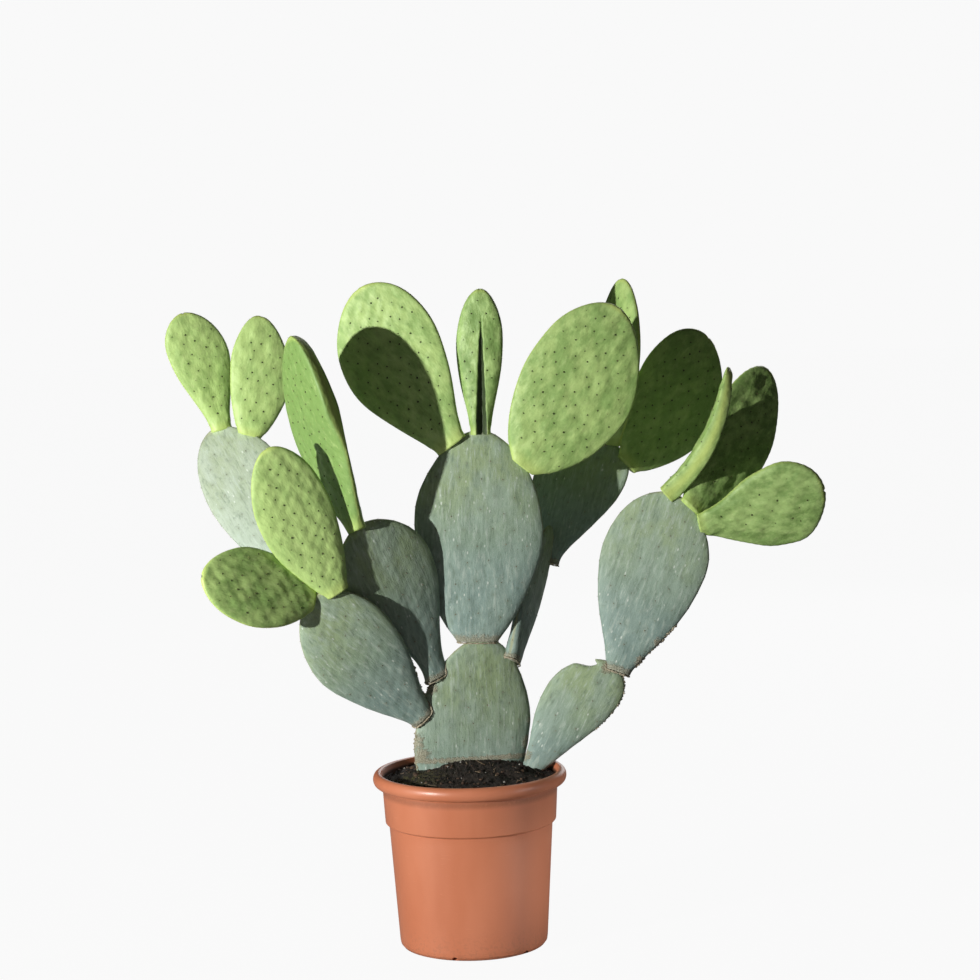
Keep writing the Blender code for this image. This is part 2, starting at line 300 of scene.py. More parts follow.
underside = [
    (0, 0),
    (FOOT_DISC_RADIUS, 0),
    (FOOT_DISC_RADIUS + RING_SLOPE, DRAIN_RING_HEIGHT),
    (0.0730, DRAIN_RING_HEIGHT),
    (0.0765, 0),
    (0.0840, 0),
    (0.0885, 0.0016),
    (0.0912, 0.0050),
    (BODY_FOOT_RADIUS, BODY_FOOT_Z),
]
climb = [band / BODY_BANDS for band in range(1, BODY_BANDS + 1)]
flare = BODY_TOP_RADIUS - BODY_FOOT_RADIUS
body = [(BODY_FOOT_RADIUS + flare * up, BODY_FOOT_Z + BODY_HEIGHT * up) for up in climb]
collar = [
    (COLLAR_FOOT_RADIUS - 0.0012, COLLAR_FOOT_Z - 0.0006),
    (COLLAR_FOOT_RADIUS, COLLAR_FOOT_Z + 0.0008),
    (COLLAR_TOP_RADIUS, 0.2005),
    (COLLAR_TOP_RADIUS + 0.0012, 0.2026),
]
pot_outline = underside + body + collar + list(rolled_lip()) + inner_wall(0)[::-1]
pot_mesh = drilled(turned(pot_outline, POT_STEPS, EDGE_ROUNDING))
pot_mesh.set_sharp_from_angle(angle=math.radians(SHARP_FROM))

CLAY = (0.480, 0.156, 0.076)
FADED_CLAY = (0.550, 0.196, 0.104)
SCUFFED_CLAY = (0.68, 0.27, 0.16)
SPLASHED_SOIL = (0.30, 0.13, 0.075)
INNER_WALL_PAINTED_SHADE = (0.035, 0.022, 0.015)

clay = Finish("terracotta_plastic")
where = clay.place()
faded = clay.cloud(where, (9, 9, 3), 4)
scuffs = clay.cloud(where, (60, 60, 420), 5, 0.65)
dust = clay.cloud(where, 260, 4)
height = clay.add("SeparateXYZ", Vector=where).outputs["Z"]
low_down = clay.ramp(height, 0.045, 0.0)
tint = clay.mix(clay.ramp(faded, 0.32, 0.68), CLAY, FADED_CLAY)
tint = clay.mix(clay.ramp(scuffs, 0.60, 0.80, 0.0, 0.30), tint, SCUFFED_CLAY)
splash = clay.times(low_down, clay.ramp(dust, 0.48, 0.62, 0.0, 0.35))
tint = clay.mix(splash, tint, SPLASHED_SOIL)
flat_place = clay.stretched(where, (1, 1, 0))
from_axis = clay.add("VectorMath", {"operation": "LENGTH"}, slot0=flat_place).outputs["Value"]
# Painted shade: the inner wall just under the mouth is darkened in a patchy mottle, where shade
# falls inside the pot.
inside = clay.ramp(from_axis, COLLAR_TOP_RADIUS + 0.0005, COLLAR_TOP_RADIUS - 0.0010)
inside = clay.times(inside, clay.ramp(height, 0.19, 0.20))
inner_shade_mottle = clay.ramp(dust, 0.25, 0.50, 0.55, 0.95)
tint = clay.mix(clay.times(inside, inner_shade_mottle), tint, INNER_WALL_PAINTED_SHADE)
shine = clay.ramp(faded, 0.3, 0.7, 0.34, 0.46)
peel = clay.bump(clay.cloud(where, 420, 2), 0.00012)
peel = clay.bump(scuffs, 0.00008, peel)
clay.shade(Base_Color=tint, Roughness=shine, Normal=peel)
finish_piece("pot_shell", pot_mesh, clay.material, ("pot",))

# ---- Soil ----
# Dark peat-based potting soil, filled to about a centimetre under the mouth and mounded at the
# trunk. Crumbs, perlite, bark and a few dry fibres lie loose on it, and moss has begun on the left.

SOIL_LEVEL = 0.2090
MOUND = 0.0200
MOUND_SPREAD = 0.058
MOUND_Y = 0.040
WALL_GAP = 0.0003
SOIL_STEPS = 160
SOIL_RINGS = 70
MOSS_PLACE = (-0.066, -0.028, SOIL_LEVEL)

wall = inner_wall(WALL_GAP)
(low_radius, low_z), (high_radius, high_z) = wall[-2:]
soil_edge = low_radius + (SOIL_LEVEL - low_z) / (high_z - low_z) * (high_radius - low_radius)


def soil_top(x, y):
    """Height of the soil: a mound behind the middle, gentle bumps, and clods of three sizes."""
    off_crest = x * x + (y - MOUND_Y) ** 2
    mound = MOUND * math.exp(-off_crest / (2 * MOUND_SPREAD**2))
    bump = 0.0012 * (math.sin(95 * x + 3) * math.cos(83 * y) + 0.7 * math.sin(160 * y + 60 * x))
    spot = Vector((x, y, 0))
    clods = 0.0016 * noise.noise(spot * 150) + 0.0010 * noise.noise(spot * 420)
    clods += 0.0005 * noise.noise(spot * 900)
    edge = 1 - (math.hypot(x, y) / soil_edge) ** 6
    return SOIL_LEVEL + (mound + bump) * edge + clods * (0.4 + 0.6 * edge)


soil_rings = [soil_edge * ring / SOIL_RINGS for ring in range(SOIL_RINGS, -1, -1)]
bm = turned(wall[:-1] + [(radius, SOIL_LEVEL) for radius in soil_rings], SOIL_STEPS)
for vert in bm.verts:
    if vert.co.z > SOIL_LEVEL - 1e-6:
        vert.co.z = soil_top(vert.co.x, vert.co.y)
soil_mesh = mesh_of(bm, "soil_bed")

DARK_PEAT = (0.011, 0.008, 0.006)
BROWN_PEAT = (0.036, 0.025, 0.018)
PEAT_PIT_PAINTED_SHADE = (0.010, 0.008, 0.006)
PEAT_FLECK = (0.085, 0.060, 0.038)
MOSS = (0.070, 0.068, 0.020)

peat = Finish("peat")
where = peat.place()
clods = peat.cloud(where, 170, 5, 0.6)
grains = peat.cells(where, 700)
tint = peat.mix(peat.ramp(clods, 0.38, 0.66), DARK_PEAT, BROWN_PEAT)
# Painted shade: darker in the pits of the grain relief.
tint = peat.mix(peat.ramp(grains, 0.20, 0.05, 0.0, 0.6), tint, PEAT_PIT_PAINTED_SHADE)
flecks = peat.ramp(peat.cells(where, 260), 0.13, 0.08)
tint = peat.mix(peat.times(flecks, 0.45), tint, PEAT_FLECK)
side = peat.add("VectorMath", {"operation": "DISTANCE"}, slot0=where, slot1=MOSS_PLACE)
tufts = peat.ramp(clods, 0.40, 0.60, 0.0, 0.8)
mossy = peat.times(peat.ramp(side.outputs["Value"], 0.050, 0.012), tufts)
tint = peat.mix(mossy, tint, MOSS)
relief = peat.bump(grains, 0.0005, peat.bump(clods, 0.0012))
peat.shade(Base_Color=tint, Roughness=0.96, Normal=relief)
finish_piece("soil_bed", soil_mesh, peat.material, ("soil",))


def lump(bm, draw, spot, size, squash, rounds=1):
    """One rough crumb: a small ball, squashed, turned and dented by chance."""
    turn = Matrix.Rotation(draw.uniform(0, math.pi), 4, draw.choice("XYZ"))
    turn = turn @ Matrix.Rotation(draw.uniform(0, math.pi), 4, draw.choice("XYZ"))
    scale = Matrix.Diagonal((size, size * draw.uniform(0.6, 1), size * squash, 1))
    made = bmesh.ops.create_icosphere(
        bm, subdivisions=rounds, radius=0.5, matrix=Matrix.Translation(spot) @ turn @ scale
    )
    for vert in made["verts"]:
        vert.co += Vector([draw.uniform(-0.12, 0.12) * size for _ in range(3)])


def strewn(draw, reach=0.97):
    """A random place on the soil, at the height that it has there."""
    radius = soil_edge * reach * math.sqrt(draw.random())
    angle = draw.uniform(0, 2 * math.pi)
    x, y = radius * math.cos(angle), radius * math.sin(angle)
    return Vector((x, y, soil_top(x, y)))


def strew(name, seed, count, sizes, squash, material, rounds=1):
    """Many crumbs in one piece, each partly bedded in the soil."""
    draw = random.Random(seed)
    bm = bmesh.new()
    for _ in range(count):
        size = draw.uniform(*sizes) * draw.uniform(0.6, 1)
        spot = strewn(draw)
        spot.z += 0.15 * size
        lump(bm, draw, spot, size, squash, rounds)
    return finish_piece(name, mesh_of(bm, name), material)


strew("soil_crumbs", 3, 1500, (0.0012, 0.0042), 0.7, peat.material)

bark = Finish("bark_chips")
grain = bark.cloud(bark.place(), (600, 600, 160), 4)
bark.mottle(grain, (0.045, 0.026, 0.016), (0.115, 0.072, 0.045), 0.9, 0.0004)
strew("bark_chips", 5, 120, (0.0030, 0.0075), 0.35, bark.material, 2)

perlite = Finish("perlite")
pores = perlite.cells(perlite.place(), 1400)
perlite.mottle(pores, (0.20, 0.19, 0.17), (0.50, 0.48, 0.44), 0.85, 0.0004, 0.1, 0.5)
strew("perlite_grains", 8, 26, (0.0012, 0.0030), 0.9, perlite.material, 2)

# Dry fibres: thin six-sided rods that lie on the soil. The first is a thicker twig near the front.
FIBRES = 30
TWIG = (Vector((0.040, -0.072, 0)), math.radians(18), 0.0125, 0.0008)

draw = random.Random(21)
bm = bmesh.new()
for index in range(FIBRES):
    spot = strewn(draw, 0.9)
    heading, length = draw.uniform(0, math.pi), draw.uniform(0.005, 0.018)
    thick = draw.uniform(0.0002, 0.0005)
    if index == 0:
        spot, heading, length, thick = TWIG
        spot.z = soil_top(spot.x, spot.y)
    along = Vector((math.cos(heading), math.sin(heading), 0))
    made = bmesh.ops.create_cone(
        bm, cap_ends=True, segments=6, radius1=thick, radius2=thick * 0.6, depth=length
    )
    lying = along.to_track_quat("Z", "Y").to_matrix().to_4x4()
    bmesh.ops.transform(bm, matrix=lying, verts=made["verts"])
    for vert in made["verts"]:
        vert.co += spot
        vert.co.z += soil_top(vert.co.x, vert.co.y) - spot.z + thick + 0.0004

straw = Finish("dry_fibre")
stripes = straw.cloud(straw.place(), (900, 900, 300))
straw.mottle(stripes, (0.13, 0.085, 0.045), (0.38, 0.29, 0.19), 0.8, 0.0002)
finish_piece("dry_fibres", mesh_of(bm, "dry_fibres"), straw.material)

# ---- Base pad ----
# The oldest pad carries all but the right branch, and two fifths of its length is in the soil. It
# is thick, blue grey-green under a waxy bloom, corky low down and where other pads grow out of it.

# A pad's row: its place on the rim of the pad below (0 at the tip, 1 and -1 at the foot) and how
# far in it sits; its length, width, thickness and neck; its lean, tilt and turn in degrees about Y,
# X and Z; the sway and bow of its middle line; and its shape, widest nearer the tip above 1.
PAD_KEYS = "place inset length width thick neck lean tilt turn sway bow shape".split()
PLAIN_FORM = {"nicks": (), "blunt": None, "crease": None, "rim_rows": 0}
ROOT_SINK = 0.006
SQUARENESS = 2.4
MARGIN_WAVE = {"old_skin": 0.012, "pale_skin": 0.010, "young_skin": 0.010, "green_skin": 0.028}
MESH_PITCH = 0.0020
pads = {}

# Relief of each skin: height of the swelling under an areole, its radius, how much it is drawn out
# along the pad, depth of the slow undulation, and the gaps of areoles across, along and on the rim.
RELIEF = {
    "old_skin": (0.0001, 0.006, 1.0, 0.0004, 0.030, 0.021, 0.022),
    "pale_skin": (0.0001, 0.005, 1.0, 0.0004, 0.026, 0.018, 0.020),
    "young_skin": (0.0006, 0.005, 1.6, 0.0006, 0.017, 0.012, 0.009),
    "green_skin": (0.0014, 0.006, 1.8, 0.0009, 0.017, 0.012, 0.009),
}


def bulge(pad, t):
    """0 at the ends of the pad, 1 at its widest."""
    return np.maximum(np.sin(math.pi * np.asarray(t, float) ** pad.shape), 0) ** 0.52


def half_width(pad, t, side):
    """Half width on the right (side 1) or left (side -1), with gentle waves of the margin."""
    phase = pad.order * 1.7 + side
    wave = np.sin(10 * t + phase) + 0.6 * np.sin(19 * t + 2 * phase)
    blade = pad.width / 2 * bulge(pad, t) * (1 + MARGIN_WAVE[pad.skin] * wave)
    return np.hypot(blade, pad.neck / 2 * (1 - t) ** 3)


def half_thickness(pad, t):
    """Half thickness in the middle of the pad, slightly less towards the tip."""
    taper = 0.85 + 0.15 * np.cos(math.pi * t)
    return pad.thick / 2 * taper * np.sqrt(np.minimum(bulge(pad, t) + (1 - t) ** 6, 1))


def rim_share(across):
    """1 in the middle of a face, 0 at the margin, where the two faces meet in a round edge."""
    return (1 - np.minimum(np.abs(across), 1) ** SQUARENESS) ** (1 / SQUARENESS)


def surface(pad, t, across, face):
    """Points in the pad's own axes: t 0 to 1 from root to tip, across -1 to 1, face -1 in front."""
    t, across = np.asarray(t, float), np.asarray(across, float)
    side = np.where(across > 0, 1.0, -1.0)
    x = pad.sway * t**2 + across * half_width(pad, t, side)
    y = pad.bow * t**2 + face * half_thickness(pad, t) * rim_share(across)
    return np.stack(np.broadcast_arrays(x, y, pad.length * t), -1)


def carve(pad, at, t, across, face):
    """Moves points in place for the nicks, blunt margin and crease that a few pads have.

    A nick is a bite out of the margin (t, side, length, depth). A blunt right margin starts at a
    height and slants back (from t, fullness, slant). A crease runs up the front face
    (top, shift, width, depth). Returns how deep in the crease each point lies, 0 to 1.
    """
    for nick_t, side, long, deep in pad.nicks:
        near = np.exp(-(((t - nick_t) * pad.length / long) ** 4))
        at[..., 0] -= side * deep * near * np.clip(side * across, 0, 1) ** 2
    if pad.blunt:
        start, full, slant = pad.blunt
        ease = np.clip((t - start) / 0.2, 0, 1) * (across > 0)
        flat = (1 - np.minimum(np.abs(across), 1) ** 8) ** (1 / 8)
        at[..., 1] += ease * face * half_thickness(pad, t) * (full * flat - rim_share(across))
        at[..., 0] -= ease * slant * (1 + face * flat) / 2 * across**4
    if not pad.crease:
        return np.zeros(np.shape(t))
    top, shift, wide, deep = pad.crease
    down = np.clip((top - t) / top, 0, 1)
    off = np.abs(at[..., 0] - pad.sway * t**2 - shift) / (wide / 2 * down**0.7 + 1e-4)
    at[..., 1] += deep * down**0.5 * np.clip(1 - off, 0, 1) * (face < 0)
    return np.clip(1.25 - off, 0, 1) * (face < 0) * np.clip(down * 5, 0, 1)


def facing(pad, t, across, face):
    """Outward direction at a point of the pad, in its own axes."""
    step = 0.004
    inner = 1 - step
    low = surface(pad, max(t - step, 0), across * inner, face)
    high = surface(pad, min(t + step, 1), across * inner, face)
    left = surface(pad, t, max(across * inner - step, -1), face)
    right = surface(pad, t, min(across * inner + step, 1), face)
    normal = Vector(np.cross(right - left, high - low)).normalized()
    return -normal if normal.y * face < 0 else normal


def seat_point(pad, place, inset):
    """Point on the rim, or set in on the back face, in the pad's own axes."""
    t = (1 + math.cos(math.pi * place)) / 2
    side = (place > 0) - (place < 0)
    rim = Vector(surface(pad, t, 0, 0)) + Vector((side * half_width(pad, t, side), 0, 0))
    if not inset:
        return rim
    point = rim + (Vector(surface(pad, 0.5, 0, 0)) - rim).normalized() * inset
    t = point.z / pad.length
    middle = Vector(surface(pad, t, 0, 0))
    across = (point.x - middle.x) / half_width(pad, t, side)
    point.y = middle.y + half_thickness(pad, t) * rim_share(across)
    return point


def plan_pad(name, grows_from, row, skin, tone, **forms):
    """Works out where a pad stands on the one that it grows from, and where its areoles are."""
    form = dict(zip(PAD_KEYS, row)) | PLAIN_FORM | forms
    pad = SimpleNamespace(name=name, skin=skin, tone=tone, order=len(pads), children=[], **form)
    turn = Matrix.Rotation(math.radians(pad.lean), 4, "Y")
    turn = turn @ Matrix.Rotation(math.radians(pad.tilt), 4, "X")
    turn = turn @ Matrix.Rotation(math.radians(pad.turn), 4, "Z")
    if isinstance(grows_from, str):
        parent = pads[grows_from]
        seat = parent.stand @ seat_point(parent, pad.place, pad.inset)
        root = seat - turn @ Vector((0, 0, ROOT_SINK))
        parent.children.append(pad)
        pad.parent = parent
    else:
        root = Vector(grows_from)
    pad.stand = Matrix.Translation(root) @ turn
    pads[name] = pad
    pad.areoles = areole_places(pad)
    return pad


BARE_FOOT, BARE_TIP = 0.10, 0.975
FACE_REACH = 0.86
FOLD_REACH = 0.2
RIM_FOOT = 0.07
RIM_STEPS = 400
ROW_SPLIT = 0.04


def areole_places(pad):
    """A staggered lattice of areoles on both faces, and one or two close rows round the rim.

    Each is a point and the way it faces. Those that would hang over a fold are left out.
    """
    gap_across, gap_along, gap_rim = RELIEF[pad.skin][4:]
    draw = random.Random(pad.order)
    places = []
    for face in (-1, 1):
        for row in range(1, int(pad.length / gap_along)):
            t = (row + 0.25 * face) * gap_along / pad.length
            if t < BARE_FOOT or t > BARE_TIP:
                continue
            gap = gap_across * (0.72 + 0.28 * float(bulge(pad, t)))
            reach = int(pad.width / 2 / gap) + 1
            for column in range(-reach, reach + 1):
                x = (column + 0.5 * (row % 2) + draw.uniform(-0.16, 0.16)) * gap
                across = x / float(half_width(pad, t, 1 if x > 0 else -1))
                if abs(across) < FACE_REACH:
                    there = min(t + draw.uniform(-0.22, 0.22) * gap_along / pad.length, 1)
                    at = surface(pad, there, across, face)
                    if carve(pad, at, there, across, face) < FOLD_REACH:
                        places.append((Vector(at), facing(pad, there, across, face)))
    for side in (-1, 1):
        walked, before, lane = 0.0, None, pad.rim_rows
        for step in range(1, RIM_STEPS):
            t = math.sin(math.pi / 2 * step / RIM_STEPS)
            point = Vector(surface(pad, t, side, 0))
            walked += (point - before).length if before else 0
            before = point
            if t > RIM_FOOT and walked > gap_rim:
                walked, lane = 0.0, -lane
                ahead = Vector(surface(pad, min(t + 0.01, 1), side, 0))
                along = ahead - Vector(surface(pad, t - 0.01, side, 0))
                stray = draw.uniform(-0.3, 0.3) * along.length
                outward = Vector((along.z * side, stray, -along.x * side))
                across, face = side * (1 - ROW_SPLIT * abs(lane)), np.sign(lane)
                at = surface(pad, t, across, face)
                carve(pad, at, t, across, face)
                places.append((Vector(at), outward.normalized()))
    return places


def vectors(mesh, kind):
    """Places or normals of a mesh's points, one row each."""
    flat = np.empty(len(mesh.vertices) * 3, np.float32)
    mesh.vertices.foreach_get(kind, flat)
    return flat.reshape(-1, 3).astype(float)


def hand_over(points, key, values):
    """Gives the points of a mesh, or an attribute of it, their values."""
    points.foreach_set(key, np.asarray(values, np.float32).ravel())


def slow_waves(pad, at):
    """The slow unevenness of a living surface, from a few crossing waves."""
    shift = pad.order * 0.9
    x, z = at[:, 0], at[:, 2]
    waves = np.sin(x * 160 + z * 75 + shift) * np.sin(z * 120 - x * 60 + 2 * shift)
    waves += 0.6 * np.sin(x * 290 - z * 170 + 3 * shift) * np.sin(z * 240 + shift)
    return waves


PIT_RADIUS = 0.0016
HALO_RADIUS = 0.0034
POINTS_AT_ONCE = 4000


def grow_pad(pad, finish, marks=(), pitch=MESH_PITCH):
    """The pad's skin: a ball drawn out to the pad's form, swollen under each areole.

    A mark is a corky scab (t, across, face, size, height). With no across it is a band. The skin
    carries what its finish needs: how near an areole, the rim, a scab or the fold each point is.
    """
    swell, radius, drawn, undulation = RELIEF[pad.skin][:4]
    columns = 4 * round(pad.width / pitch / 2)
    rows = round(pad.length / pitch)
    bm = bmesh.new()
    bmesh.ops.create_uvsphere(bm, u_segments=columns, v_segments=rows, radius=1)
    mesh = mesh_of(bm, pad.name + "_skin")
    count = len(mesh.vertices)
    ball = vectors(mesh, "co")
    rise = 1 - np.arccos(np.clip(ball[:, 2], -1, 1)) / math.pi
    t = rise + rise**3 * (1 - rise)
    round_it = np.arctan2(np.abs(ball[:, 1]), ball[:, 0]) / math.pi
    level = 1 - 2 * round_it
    across = np.sign(level) * (np.abs(level) + np.abs(level) ** 3 * (1 - np.abs(level)))
    across[(rise < 1e-6) | (rise > 1 - 1e-6)] = 0
    face = np.where(ball[:, 1] < 0, -1.0, 1.0)
    at = surface(pad, t, across, face)
    fold = carve(pad, at, t, across, face)
    hand_over(mesh.vertices, "co", at)
    mesh.update()
    outward = vectors(mesh, "normal")

    places = np.array([tuple(point) for point, _ in pad.areoles])
    nearest = np.full(count, 1.0)
    drop = np.zeros(count)
    for start in range(0, count, POINTS_AT_ONCE):
        part = slice(start, start + POINTS_AT_ONCE)
        apart = at[part, None, :] - places[None, :, :]
        apart[:, :, 2] /= drawn
        far = np.sqrt((apart**2).sum(-1))
        nearest[part] = far.min(1)
        near = np.exp(-((far / radius) ** 2)).sum(1)
        drop[part] = np.minimum(near, 1.2)
    flat = rim_share(across)
    height = swell * drop * (2 - flat) + undulation * slow_waves(pad, at) * flat**2
    height -= 0.35 * swell * np.exp(-((nearest / PIT_RADIUS) ** 2))
    scar = np.zeros(count)
    for mark_t, mark_across, mark_face, size, raised in marks:
        apart = at - surface(pad, mark_t, mark_across or 0, mark_face)
        if mark_across is None:
            apart = apart[:, 2:]
        near = np.exp(-(apart**2).sum(1) / size**2)
        scar = np.maximum(scar, near)
        height += raised * near
    height *= np.clip((t - 0.02) / 0.06, 0, 1)
    hand_over(mesh.vertices, "co", at + outward * height[:, None])

    values = {
        # The areole value also places the painted shadow round each areole.
        "areole": np.exp(-((nearest / HALO_RADIUS) ** 2)),
        "rim": 1 - flat * np.clip((1 - t) * 9, 0, 1),
        "along": t,
        "scar": scar,
        # The fold value places the painted shadow in the crease.
        "fold": fold,
        "tone": np.full(count, pad.tone),
    }
    for key, value in values.items():
        hand_over(mesh.attributes.new(key, "FLOAT", "POINT").data, "value", value)
    grown = mesh.attributes.new("grown", "FLOAT_VECTOR", "POINT")
    hand_over(grown.data, "vector", at + np.array([0.37 * pad.order, 0, 0]))
    mesh.transform(pad.stand)
    return finish_piece(pad.name + "_skin", mesh, finish, (pad.name,))


WAX_STREAK = (0.48, 0.57, 0.50)
RUBBED_STREAK = (0.12, 0.18, 0.13)
GREEN_BLOT = (0.13, 0.19, 0.13)
FINE_BLOOM = (0.52, 0.58, 0.52)
PALE_FLECK = (0.66, 0.72, 0.66)
BROWN_PIT = (0.085, 0.080, 0.050)
AREOLE_TINT_AND_SHADOW = (0.15, 0.19, 0.13)
WORN_MARGIN = (0.36, 0.37, 0.21)
DARK_CORK, PALE_CORK = (0.22, 0.190, 0.120), (0.50, 0.47, 0.35)


def old_skin_finish(name, upper, lower, worn, bloom_share):
    """Mature skin: waxy green, rubbed in streaks, with pale flecks, brown pits and corky scabs."""
    skin = Finish(name)
    own = skin.grown("grown", "Vector")
    along = skin.grown("along")
    streaks = skin.cloud(own, (260, 260, 48), 6, 0.7)
    patches = skin.cloud(own, (30, 30, 19), 4, 0.6)
    blots = skin.cloud(own, (130, 130, 90), 4, 0.65)
    fine = skin.cloud(own, 900, 4, 0.6)
    tint = skin.mix(skin.ramp(along, 0.25, 0.85), lower, upper)
    tint = skin.mix(skin.ramp(patches, 0.38, 0.66, 0.0, bloom_share), tint, worn)
    tint = skin.mix(skin.ramp(blots, 0.46, 0.30, 0.0, 0.40), tint, GREEN_BLOT)
    tint = skin.mix(skin.ramp(streaks, 0.50, 0.68, 0.0, 0.58), tint, WAX_STREAK)
    tint = skin.mix(skin.ramp(streaks, 0.48, 0.31, 0.0, 0.52), tint, RUBBED_STREAK)
    tint = skin.mix(skin.ramp(fine, 0.58, 0.70, 0.0, 0.30), tint, FINE_BLOOM)
    flecks = skin.cells(own, (170, 170, 75))
    rare = skin.ramp(skin.cloud(own, 60, 2), 0.47, 0.58)
    fleck = skin.times(skin.ramp(flecks, 0.19, 0.10), rare)
    tint = skin.mix(skin.times(fleck, 0.75), tint, PALE_FLECK)
    pits = skin.ramp(skin.cells(own, (95, 95, 80)), 0.07, 0.04)
    tint = skin.mix(skin.times(pits, 0.55), tint, BROWN_PIT)
    # Darker green round each areole: partly the skin's own tint, partly painted shadow round the
    # cushion.
    areole_tint_and_shadow = skin.grown("areole")
    tint = skin.mix(skin.times(areole_tint_and_shadow, 0.28), tint, AREOLE_TINT_AND_SHADOW)
    rim = skin.ramp(skin.grown("rim"), 0.70, 0.97)
    rubbed = skin.ramp(patches, 0.40, 0.60, 0.2, 0.8)
    tint = skin.mix(skin.times(rim, rubbed), tint, WORN_MARGIN)
    ragged = skin.maths("SUBTRACT", skin.cloud(own, 210, 5, 0.7), 0.5)
    ragged = skin.times(ragged, 1.5)
    scar = skin.maths("ADD", skin.grown("scar"), ragged)
    scar = skin.ramp(scar, 0.50, 0.85, 0.0, 0.8)
    neck = skin.maths("SUBTRACT", along, skin.times(ragged, 0.05))
    neck = skin.times(skin.ramp(neck, 0.050, 0.025), 0.7)
    corky = skin.maths("MAXIMUM", scar, neck)
    bark = skin.mix(skin.ramp(fine, 0.40, 0.62), DARK_CORK, PALE_CORK)
    tint = skin.mix(corky, tint, bark)
    relief = skin.bump(streaks, 0.0007)
    relief = skin.bump(blots, 0.0004, relief)
    relief = skin.bump(fine, 0.00022, relief)
    relief = skin.bump(skin.times(corky, fine), 0.0016, relief)
    rough = skin.ramp(patches, 0.35, 0.65, 0.56, 0.72)
    skin.shade(Base_Color=tint, Roughness=rough, Normal=relief)
    skin.shader.inputs["Sheen Weight"].default_value = 0.08
    return skin.material


old_skin = old_skin_finish(
    "old_pad_skin", upper=(0.300, 0.395, 0.215), lower=(0.215, 0.310, 0.280),
    worn=(0.30, 0.40, 0.34), bloom_share=0.6,
)
grow_pad(plan_pad(
    "base_pad", (-0.004, 0.030, 0.110),
    (0, 0, 0.270, 0.146, 0.030, 0.090, 1, 0, 14, 0.020, 0.000, 1.15), "old_skin", 0.5,
), old_skin, (
    (0.66, -0.99, -1, 0.012, 0.0006),
    (0.78, -0.97, -1, 0.012, 0.0006),
    (0.53, -0.99, -1, 0.014, 0.0008),
    (0.44, None, -1, 0.005, 0.0002),
    (0.47, -0.90, -1, 0.014, 0.0008),
    (0.50, 0.96, -1, 0.012, 0.0008),
    (0.60, 0.99, -1, 0.008, 0.0005),
))

# ---- Centre branch ----
# A second old pad stands on the tip of the base pad. Three young pads grow along its upper rim: one
# leans left, one stands narrow and folded at the tip, and one leans right before the back branch.

VEIN_LIGHT = (0.62, 0.75, 0.33)
VEIN_DEEP = (0.13, 0.25, 0.05)
YOUNG_AREOLE_TINT_AND_SHADOW = (0.13, 0.24, 0.05)
CREASE_PAINTED_SHADOW = (0.035, 0.060, 0.018)


def young_skin_finish(name, light, deep, rim_tint, mottle, dent):
    """Tender skin: yellow-green, blotched, thin yellow rim, darker round each areole (partly
    painted shadow).
    """
    skin = Finish(name)
    own = skin.grown("grown", "Vector")
    along = skin.grown("along")
    tone = skin.grown("tone")
    patches = skin.cloud(own, (55, 55, 34), 5, 0.62)
    veins = skin.cloud(own, (190, 190, 95), 5, 0.65)
    dents = skin.cloud(own, (120, 120, 70), 2)
    fine = skin.cloud(own, 1100, 3)
    share = skin.maths("ADD", skin.ramp(patches, 0.36, 0.66, -0.35, 0.40), tone)
    tint = skin.mix(skin.ramp(share, 0.0, 1.0), light, deep)
    tint = skin.mix(skin.ramp(veins, 0.52, 0.72, 0.0, 0.30), tint, VEIN_LIGHT)
    tint = skin.mix(skin.ramp(veins, 0.48, 0.28, 0.0, mottle), tint, VEIN_DEEP)
    # Darker green round each areole: partly the skin's own tint, partly painted shadow round the
    # cushion.
    areole_tint_and_shadow = skin.grown("areole")
    tint = skin.mix(skin.times(areole_tint_and_shadow, 0.30), tint, YOUNG_AREOLE_TINT_AND_SHADOW)
    rim = skin.grown("rim")
    tint = skin.mix(skin.ramp(rim, 0.72, 1.0, 0.0, 0.70), tint, rim_tint)
    tint = skin.mix(skin.ramp(along, 0.10, 0.02, 0.0, 0.5), tint, rim_tint)
    # Painted shadow: dark deep in the crease of the folded pad, where the fold value is high.
    fold = skin.grown("fold")
    tint = skin.mix(skin.ramp(fold, 0.15, 0.55), tint, CREASE_PAINTED_SHADOW)
    relief = skin.bump(dents, dent)
    relief = skin.bump(veins, 0.0004, relief)
    relief = skin.bump(fine, 0.00012, relief)
    rough = skin.ramp(patches, 0.35, 0.65, 0.50, 0.62)
    skin.shade(Base_Color=tint, Roughness=rough, Normal=relief)
    return skin.material


young_skin = young_skin_finish(
    "young_pad_skin", light=(0.46, 0.64, 0.22), deep=(0.28, 0.45, 0.13),
    rim_tint=(0.56, 0.69, 0.19), mottle=0.30, dent=0.0012,
)
green_skin = young_skin_finish(
    "green_pad_skin", light=(0.40, 0.58, 0.20), deep=(0.20, 0.34, 0.09),
    rim_tint=(0.52, 0.67, 0.18), mottle=0.42, dent=0.0016,
)
grow_pad(plan_pad(
    "centre_pad", "base_pad",
    (-0.03, 0, 0.265, 0.160, 0.024, 0.050, 2, -1, 4, 0.000, 0.004, 1.10), "old_skin", 0.5,
), old_skin)
grow_pad(plan_pad(
    "centre_left_pad", "centre_pad",
    (-0.16, 0, 0.225, 0.134, 0.020, 0.044, -36, -3, -12, 0.028, -0.010, 1.50), "young_skin", 0.40,
), young_skin)
grow_pad(plan_pad(
    "centre_top_pad", "centre_pad",
    (0.01, 0, 0.180, 0.056, 0.024, 0.026, 0, 0, -8, 0.004, 0.000, 1.45), "young_skin", 0.55,
    crease=(0.84, 0.003, 0.015, 0.009),
), green_skin, pitch=0.001)
